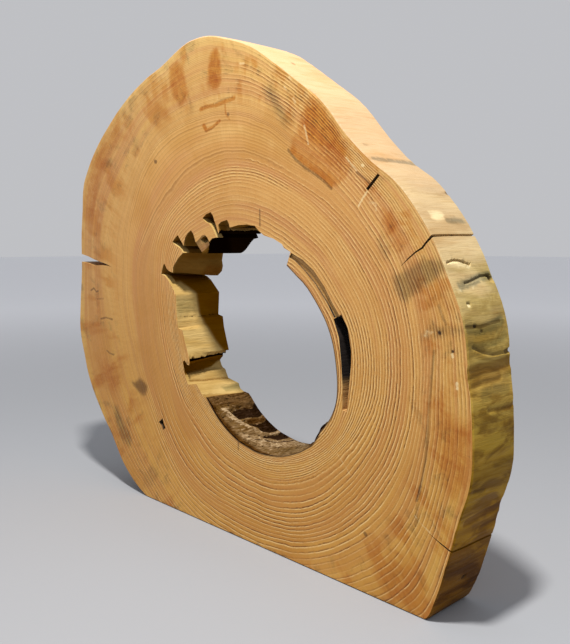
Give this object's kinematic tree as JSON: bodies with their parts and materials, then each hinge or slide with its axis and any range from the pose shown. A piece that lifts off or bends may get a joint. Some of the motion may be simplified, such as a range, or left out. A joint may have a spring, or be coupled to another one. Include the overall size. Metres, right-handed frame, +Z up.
{
  "type": "wood slice",
  "caption": "Upright slice of a hollow tree trunk with a broken opening through its heart, drying cracks at the rim and a flat sawn base to stand on.",
  "frame": {"origin": "middle of the overall box at the level of the flat sawn base", "axes": "+X along the width to the right seen from the sanded front face, which looks along -Y; +Y through the thickness along the grain; +Z up"},
  "size_m": [0.4692, 0.045, 0.4015],
  "materials": {
    "weathered_wood": "sanded sawn faces, bare satin rim, rough broken and partly decayed hole walls"
  },
  "bodies": {
    "root": {"wood_slice": "weathered_wood"}
  },
  "joints": []
}
